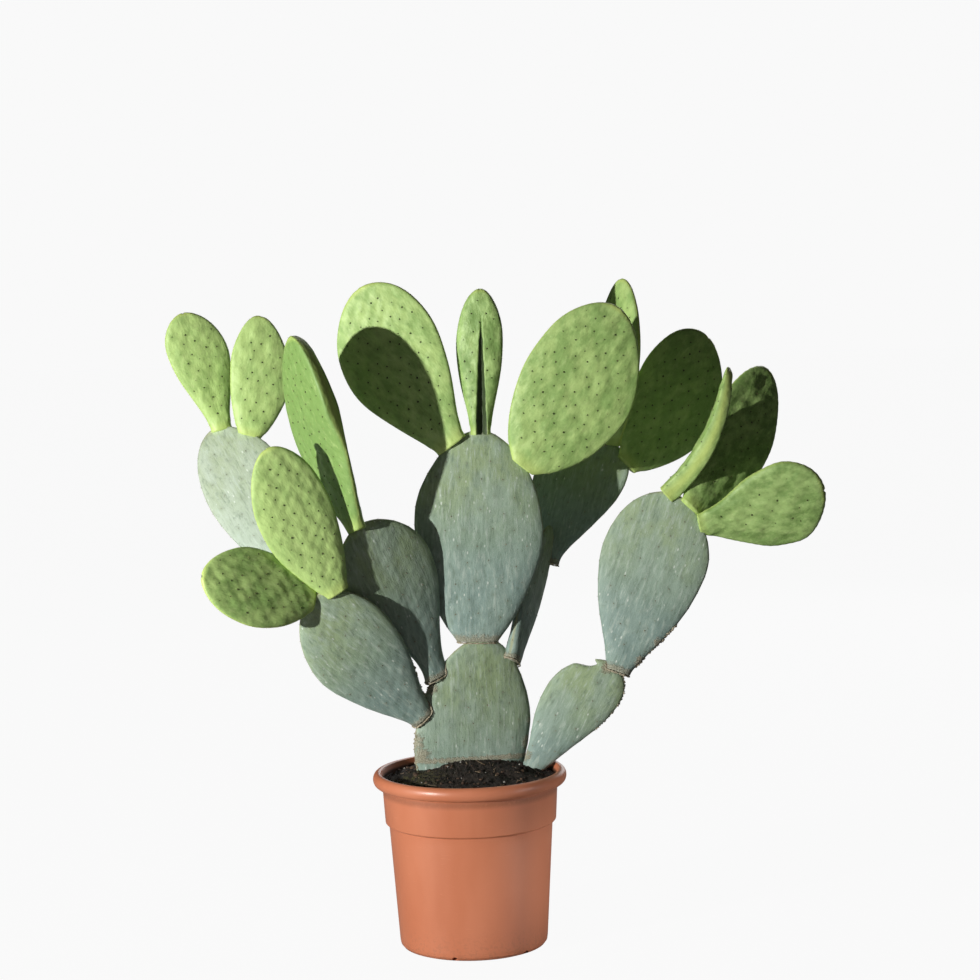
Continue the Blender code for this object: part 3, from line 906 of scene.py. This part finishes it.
grow_pad(plan_pad(
    "centre_right_pad", "centre_pad",
    (0.26, 0, 0.230, 0.144, 0.020, 0.030, 40, 2, 4, -0.026, 0.010, 1.10), "young_skin", 0.50,
), young_skin)

# ---- Back branch ----
# A slim old pad rises behind, edge on, and carries a broad one. Two young pads stand on that,
# one upright behind the centre branch and one leaning right.

grow_pad(plan_pad(
    "back_stem_pad", "base_pad",
    (0.21, 0, 0.190, 0.068, 0.020, 0.030, 19, -27, 66, 0.000, 0.000, 1.20), "old_skin", 0.4,
), old_skin)
grow_pad(plan_pad(
    "back_pad", "back_stem_pad",
    (0.28, 0, 0.175, 0.118, 0.022, 0.030, 17, -12, -17, 0.026, 0.006, 1.75), "old_skin", 0.6,
), old_skin, ((0.97, 0.3, -1, 0.010, 0.0010),))
for name, row, tone in (
    ("back_right_pad",
     (0.24, 0, 0.200, 0.130, 0.020, 0.030, 45, -15, 16, -0.030, 0.010, 1.30), 0.75),
    ("back_top_pad",
     (0.07, 0, 0.215, 0.094, 0.019, 0.030, 5, -3, -60, 0.000, 0.000, 1.20), 0.55),
):
    grow_pad(plan_pad(name, "back_pad", row, "young_skin", tone), young_skin)

# ---- Left branch ----
# Two old pads fork from the left of the base pad. The front one carries a pale, heavily bloomed pad
# with two small ones, and two more in front; the back one carries the tall narrow-looking pad.

pale_skin = old_skin_finish(
    "pale_pad_skin", upper=(0.37, 0.45, 0.30), lower=(0.38, 0.47, 0.41),
    worn=(0.46, 0.54, 0.45), bloom_share=0.7,
)
finishes = {
    "old_skin": old_skin, "pale_skin": pale_skin,
    "young_skin": young_skin, "green_skin": green_skin,
}
TALL_FORM = {"blunt": (0.38, 1.55, 0.008)}
for name, grows_from, row, skin, tone in (
    ("left_front_pad", "base_pad",
     (-0.40, 0, 0.225, 0.114, 0.024, 0.034, -42, 24, 2, 0.014, 0.008, 1.45), "old_skin", 0.5),
    ("left_front_upright_pad", "left_front_pad",
     (0.17, 0, 0.200, 0.092, 0.020, 0.030, -28, 10, 15, 0.014, -0.008, 1.25), "young_skin", 0.10),
    ("left_front_low_pad", "left_front_pad",
     (-0.01, 0, 0.150, 0.094, 0.018, 0.028, -70, 31, 27, 0.000, 0.008, 1.10), "young_skin", 0.55),
    ("left_back_pad", "base_pad",
     (-0.26, 0, 0.225, 0.122, 0.020, 0.036, -19, 12, 26, -0.018, 0.000, 1.95), "old_skin", 0.5),
    ("left_tall_pad", "left_back_pad",
     (-0.04, 0, 0.245, 0.124, 0.020, 0.030, -24, -6, -58, 0.054, 0.004, 1.35), "young_skin", 1.20),
    ("left_rear_pad", "left_front_pad",
     (0.01, 0.028, 0.300, 0.108, 0.018, 0.030, -33, -28, 0, -0.004, 0.008, 1.75), "pale_skin", 0.5),
    ("left_rear_outer_pad", "left_rear_pad",
     (0.07, 0, 0.155, 0.074, 0.018, 0.028, -13, -3, 19, -0.012, -0.008, 1.70), "young_skin", 0.15),
    ("left_rear_inner_pad", "left_rear_pad",
     (0.22, 0, 0.150, 0.074, 0.018, 0.028, 16, -5, 9, -0.022, 0.006, 1.10), "young_skin", 0.10),
):
    tall = name == "left_tall_pad"
    pad = plan_pad(name, grows_from, row, skin, tone, **(TALL_FORM if tall else {}))
    grow_pad(pad, green_skin if tall else finishes[skin])

# ---- Right branch ----
# A second stem pad is rooted in the soil against the base pad. The broad old pad on it carries a
# young pad that is edge on and, to the right of that, two lumpy mid-green ones.

grow_pad(plan_pad(
    "right_stem_pad", (0.065, 0.025, 0.190),
    (0, 0, 0.190, 0.088, 0.024, 0.030, 29, -2, -4, 0.026, 0.004, 2.10), "old_skin", 0.5,
    nicks=((0.93, -1, 0.006, 0.014),),
), old_skin, (
    (0.95, 0.0, -1, 0.010, 0.0006),
    (0.97, 0.6, -1, 0.008, 0.0006),
    (0.20, -0.95, -1, 0.010, 0.0006),
))
grow_pad(plan_pad(
    "right_pad", "right_stem_pad",
    (0.07, 0, 0.235, 0.134, 0.022, 0.034, 21, -7, -8, -0.006, -0.008, 1.50), "old_skin", 0.4,
), old_skin, (
    (0.10, 0.95, -1, 0.010, 0.0008),
    (0.22, 0.99, -1, 0.010, 0.0008),
))
EDGE_FORM = {"blunt": (-0.1, 1.45, 0), "rim_rows": 1}
for name, row, skin, tone in (
    ("right_edge_pad",
     (-0.03, 0, 0.165, 0.056, 0.019, 0.026, 50, 8, -84, -0.008, -0.068, 1.70), "young_skin", 0.60),
    ("right_upper_pad",
     (0.12, 0, 0.215, 0.092, 0.020, 0.030, 46, -24, 11, -0.038, 0.014, 1.25), "green_skin", 0.55),
    ("right_outer_pad",
     (0.21, 0, 0.160, 0.108, 0.018, 0.030, 80, 4, 19, -0.018, -0.010, 1.85), "green_skin", 0.40),
):
    forms = EDGE_FORM if name == "right_edge_pad" else {}
    grow_pad(plan_pad(name, "right_pad", row, skin, tone, **forms), finishes[skin])

# ---- Areoles ----
# Every areole is a small cushion of felt that stands on its swelling and holds a few short, straw-
# coloured bristles. They are close together and dark on young pads, sparse and grey on old ones.

CUSHION = {"old_skin": 0.0017, "pale_skin": 0.0016, "young_skin": 0.0025, "green_skin": 0.0027}
BRISTLES = {"old_skin": 1, "pale_skin": 1, "young_skin": 3, "green_skin": 4}
BRISTLE_LENGTHS = (0.0012, 0.0028)
BRISTLE_RADIUS = 0.00013
STRAW = (0.46, 0.40, 0.18)
FLATNESS = 0.55
CLEAR_OF_JOINT = 0.016
CLEAR_OF_SOIL = 0.002


def felt_finish(name, dark, light):
    """Felt of the cushions, mottled in two tints, with straw-coloured bristles."""
    felt = Finish(name)
    fuzz = felt.cloud(felt.place(), 2600, 2)
    tint = felt.mix(felt.ramp(fuzz, 0.35, 0.65), dark, light)
    tint = felt.mix(felt.grown("bristle"), tint, STRAW)
    return felt.shade(Base_Color=tint, Roughness=0.85, Normal=felt.bump(fuzz, 0.0003))


grey_felt = felt_finish("grey_felt", (0.13, 0.12, 0.085), (0.34, 0.32, 0.24))
brown_felt = felt_finish("brown_felt", (0.045, 0.075, 0.018), (0.10, 0.13, 0.040))
FELT = {
    "old_skin": grey_felt, "pale_skin": grey_felt,
    "young_skin": brown_felt, "green_skin": brown_felt,
}


def set_areoles(pad):
    """All areoles of a pad as one piece, except those under the soil or at a joint."""
    draw = random.Random(100 + pad.order)
    joints = [pad.stand.inverted() @ child.stand.translation for child in pad.children]
    size = CUSHION[pad.skin]
    swell = RELIEF[pad.skin][0]
    bm = bmesh.new()
    bristle = bm.verts.layers.float.new("bristle")
    for point, outward in pad.areoles:
        if any((point - joint).length < CLEAR_OF_JOINT for joint in joints):
            continue
        spot = pad.stand @ point
        near_soil = spot.z < SOIL_LEVEL + MOUND + 0.010
        if near_soil and spot.z < soil_top(spot.x, spot.y) + CLEAR_OF_SOIL:
            continue
        big = size * draw.uniform(0.8, 1.15)
        up = outward.to_track_quat("Z", "Y").to_matrix().to_4x4()
        seat = Matrix.Translation(point + outward * (swell * 0.55)) @ up
        squash = Matrix.Diagonal((big, big, big * FLATNESS, 1))
        bmesh.ops.create_icosphere(bm, subdivisions=1, radius=0.5, matrix=seat @ squash)
        for _ in range(BRISTLES[pad.skin]):
            lean = Matrix.Rotation(draw.uniform(0, 2 * math.pi), 4, "Z")
            lean = lean @ Matrix.Rotation(draw.uniform(0.1, 0.8), 4, "X")
            length = draw.uniform(*BRISTLE_LENGTHS)
            rise = Matrix.Translation((0, 0, length / 2 + big * 0.1))
            made = bmesh.ops.create_cone(
                bm, cap_ends=True, segments=3, radius1=BRISTLE_RADIUS, radius2=0, depth=length,
                matrix=seat @ lean @ rise,
            )
            for vert in made["verts"]:
                vert[bristle] = 1.0
    name = pad.name + "_areoles"
    mesh = mesh_of(bm, name)
    mesh.transform(pad.stand)
    return finish_piece(name, mesh, FELT[pad.skin])


for pad in pads.values():
    set_areoles(pad)

# ---- Corky joints ----
# Where an old pad has grown out of another, the joint has turned to rough brown bark: a wrinkled
# ring round the neck, uneven and thickest at the edges. Old margins shed flakes of the same bark.

BROWN_BARK = (0.19, 0.155, 0.100)
STRAW_BARK = (0.52, 0.47, 0.35)
BARK_CRACK = (0.06, 0.04, 0.028)
RING_STEPS = 72
RING_SIDES = 10
SEARCH_FROM = 0.25
SEARCH_STEP = 0.004
BARK_ABOVE_SOIL = 0.012

cork = Finish("corky_bark")
where = cork.place()
plates = cork.cells(where, 420)
crumble = cork.cloud(where, 520, 5, 0.65)
tint = cork.mix(cork.ramp(crumble, 0.36, 0.64), BROWN_BARK, STRAW_BARK)
tint = cork.mix(cork.ramp(plates, 0.16, 0.04, 0.0, 0.7), tint, BARK_CRACK)
cork.shade(Base_Color=tint, Roughness=0.92, Normal=cork.bump(crumble, 0.0012))


def is_inside(pad, point):
    """True where a point lies inside the pad."""
    own = pad.stand.inverted() @ point
    t = own.z / pad.length
    if not 0 < t < 1:
        return False
    middle = Vector(surface(pad, t, 0, 0))
    across = abs(own.x - middle.x) / float(half_width(pad, t, 1 if own.x > middle.x else -1))
    deep = abs(own.y - middle.y) / float(half_thickness(pad, t))
    return across**SQUARENESS + deep**SQUARENESS < 1


def on_pad(pad, t, across, face):
    """A place on the pad's surface, where the pad stands."""
    return pad.stand @ Vector(surface(pad, t, across, face))


def joint_line(pad):
    """The closed line where the pad comes out of the one below: (t, across, face) all round."""
    line = []
    for index in range(RING_STEPS):
        angle = 2 * math.pi * index / RING_STEPS
        level = 1 - 2 * abs(((angle / math.pi) + 1) % 2 - 1)
        face = 1 if angle < math.pi else -1
        t = SEARCH_FROM
        while t > 0.005 and not is_inside(pad.parent, on_pad(pad, t, level, face)):
            t -= SEARCH_STEP
        line.append((t, level, face))
    return line


def cork_ring(name, thick):
    """A wrinkled, uneven ring of bark that follows the joint line."""
    pad = pads[name]
    draw = random.Random(pad.order)
    line = joint_line(pad)
    bm = bmesh.new()
    rings = []
    for index, (t, level, face) in enumerate(line):
        before, after = line[index - 1], line[(index + 1) % RING_STEPS]
        t = (before[0] + 2 * t + after[0]) / 4
        onward = on_pad(pad, *after) - on_pad(pad, *before)
        spin = onward.normalized().to_track_quat("Z", "Y").to_matrix().to_4x4()
        swell = math.sin(0.37 * index + pad.order) * math.cos(0.83 * index)
        girth = thick * (0.72 + 0.45 * swell + 0.25 * draw.random()) * (1 + 0.4 * abs(level) ** 4)
        made = bmesh.ops.create_circle(
            bm, cap_ends=False, segments=RING_SIDES, radius=girth,
            matrix=Matrix.Translation(on_pad(pad, t, level, face)) @ spin,
        )
        rings.append(list({edge for vert in made["verts"] for edge in vert.link_edges}))
        for vert in made["verts"]:
            vert.co += Vector([draw.uniform(-0.22, 0.22) * girth for _ in range(3)])
    for low, high in zip(rings, rings[1:] + rings[:1]):
        bmesh.ops.bridge_loops(bm, edges=low + high)
    mesh = mesh_of(bm, name + "_joint")
    return finish_piece(name + "_joint", mesh, cork.material)


for name, thick in (
    ("centre_pad", 0.0009), ("back_stem_pad", 0.0009), ("left_front_pad", 0.0013),
    ("left_back_pad", 0.0010), ("back_pad", 0.0007), ("right_pad", 0.0013),
    ("left_rear_pad", 0.0008),
):
    cork_ring(name, thick)


def bark_scale(name, side, low, high, count, sizes):
    """Torn flakes of bark along one margin of an old pad."""
    pad = pads[name]
    draw = random.Random(200 + pad.order)
    bm = bmesh.new()
    for _ in range(count):
        t, size = draw.uniform(low, high), draw.uniform(*sizes)
        spot = on_pad(pad, t, side * draw.uniform(0.985, 1), draw.choice((-1, 1)))
        if spot.z > SOIL_LEVEL + BARK_ABOVE_SOIL:
            lump(bm, draw, spot, size, 0.25)
    name += "_bark_scale"
    return finish_piece(name, mesh_of(bm, name), cork.material)


bark_scale("right_pad", 1, 0.06, 0.36, 70, (0.002, 0.007))
bark_scale("left_front_pad", 1, 0.05, 0.30, 40, (0.002, 0.005))
bark_scale("base_pad", -1, 0.36, 0.80, 80, (0.002, 0.006))
bark_scale("right_stem_pad", 1, 0.55, 0.97, 50, (0.002, 0.005))

# ---- Studio ----
# A pale floor in an even white surround. A small, hard key at the left front throws clear shadows,
# and a weak broad fill, a narrow lamp on the pot's right side and a broad one behind soften them.

FLOOR_REACH = 14
FLOOR_GLOW = 0.944
SURROUND_LIGHT = 0.034
SURROUND_SHOWN = 0.947
MIDDLE = (0, 0, 0.5)
POT_MIDDLE = (0.01, 0, 0.090)
EYE = (0.0347, -3.3, 0.90)
LOOKING_DOWN = 5.76
ROLL = -1.55

floor_mesh = bpy.data.meshes.new("floor")
bm = bmesh.new()
bmesh.ops.create_grid(bm, x_segments=1, y_segments=1, size=FLOOR_REACH)
bm.to_mesh(floor_mesh)
bm.free()
floor = put_in_scene("floor", floor_mesh)
pale = Finish("pale_floor")
pale.shade(Base_Color=(0.30, 0.30, 0.30), Roughness=1.0)
glow = pale.add("Emission", Color=(1.0, 1.0, 1.0), Strength=FLOOR_GLOW)
matt = pale.add("BsdfDiffuse", Color=(0.012, 0.012, 0.012))
shown = pale.add("AddShader", slot0=glow.outputs[0], slot1=matt.outputs[0])
ray = pale.add("LightPath").outputs["Is Camera Ray"]
both = pale.add("MixShader", slot0=ray, slot1=pale.shader.outputs[0], slot2=shown.outputs[0])
pale.set(pale.tree.nodes["Material Output"], "Surface", both.outputs[0])
floor_mesh.materials.append(pale.material)

world = bpy.data.worlds.new("white_surround")
world.use_nodes = True
bpy.context.scene.world = world
tree = world.node_tree
backdrop = tree.nodes["Background"]
backdrop.inputs["Color"].default_value = (1, 1, 1, 1)
ray = tree.nodes.new("ShaderNodeLightPath").outputs["Is Camera Ray"]
level = tree.nodes.new("ShaderNodeMapRange")
level.inputs["To Min"].default_value = SURROUND_LIGHT
level.inputs["To Max"].default_value = SURROUND_SHOWN
tree.links.new(ray, level.inputs["Value"])
tree.links.new(level.outputs["Result"], backdrop.inputs["Strength"])


def lamp(name, spot, aim, size, power, colour, kind="AREA"):
    """A round lamp at a spot, turned towards what it lights."""
    light = bpy.data.lights.new(name, kind)
    if kind == "AREA":
        light.shape = "DISK"
        light.size = size
    else:
        light.shadow_soft_size = size
    light.energy = power
    light.color = colour
    aimed = (Vector(aim) - Vector(spot)).to_track_quat("-Z", "Y").to_matrix().to_4x4()
    put_in_scene(name, light).matrix_world = Matrix.Translation(spot) @ aimed
    return light


lamp("key", (-1.78, -1.61, 0.68), MIDDLE, size=0.05, power=74, colour=(1.0, 0.985, 0.95))
lamp("fill", (0.8, -2.8, 2.0), MIDDLE, size=2.4, power=1.6, colour=(1.0, 0.78, 0.70))
on_pot = lamp(
    "on_pot", (2.3, -1.1, 0.30), POT_MIDDLE, size=0.10, power=150, colour=(1.0, 0.98, 0.96),
    kind="SPOT",
)
on_pot.spot_size, on_pot.spot_blend = math.radians(7.0), 0.5
lamp("behind", (0.9, 2.6, 1.6), MIDDLE, size=2.6, power=42, colour=(1.0, 1.0, 1.0))

camera = put_in_scene("camera", bpy.data.cameras.new("camera"))
camera.data.sensor_width = 36
camera.data.lens = 99.25
pitch = Matrix.Rotation(math.radians(90 - LOOKING_DOWN), 4, "X")
roll = Matrix.Rotation(math.radians(ROLL), 4, "Z")
camera.matrix_world = Matrix.Translation(EYE) @ (pitch @ roll)
bpy.context.scene.camera = camera
bpy.context.scene.view_settings.view_transform = "Standard"
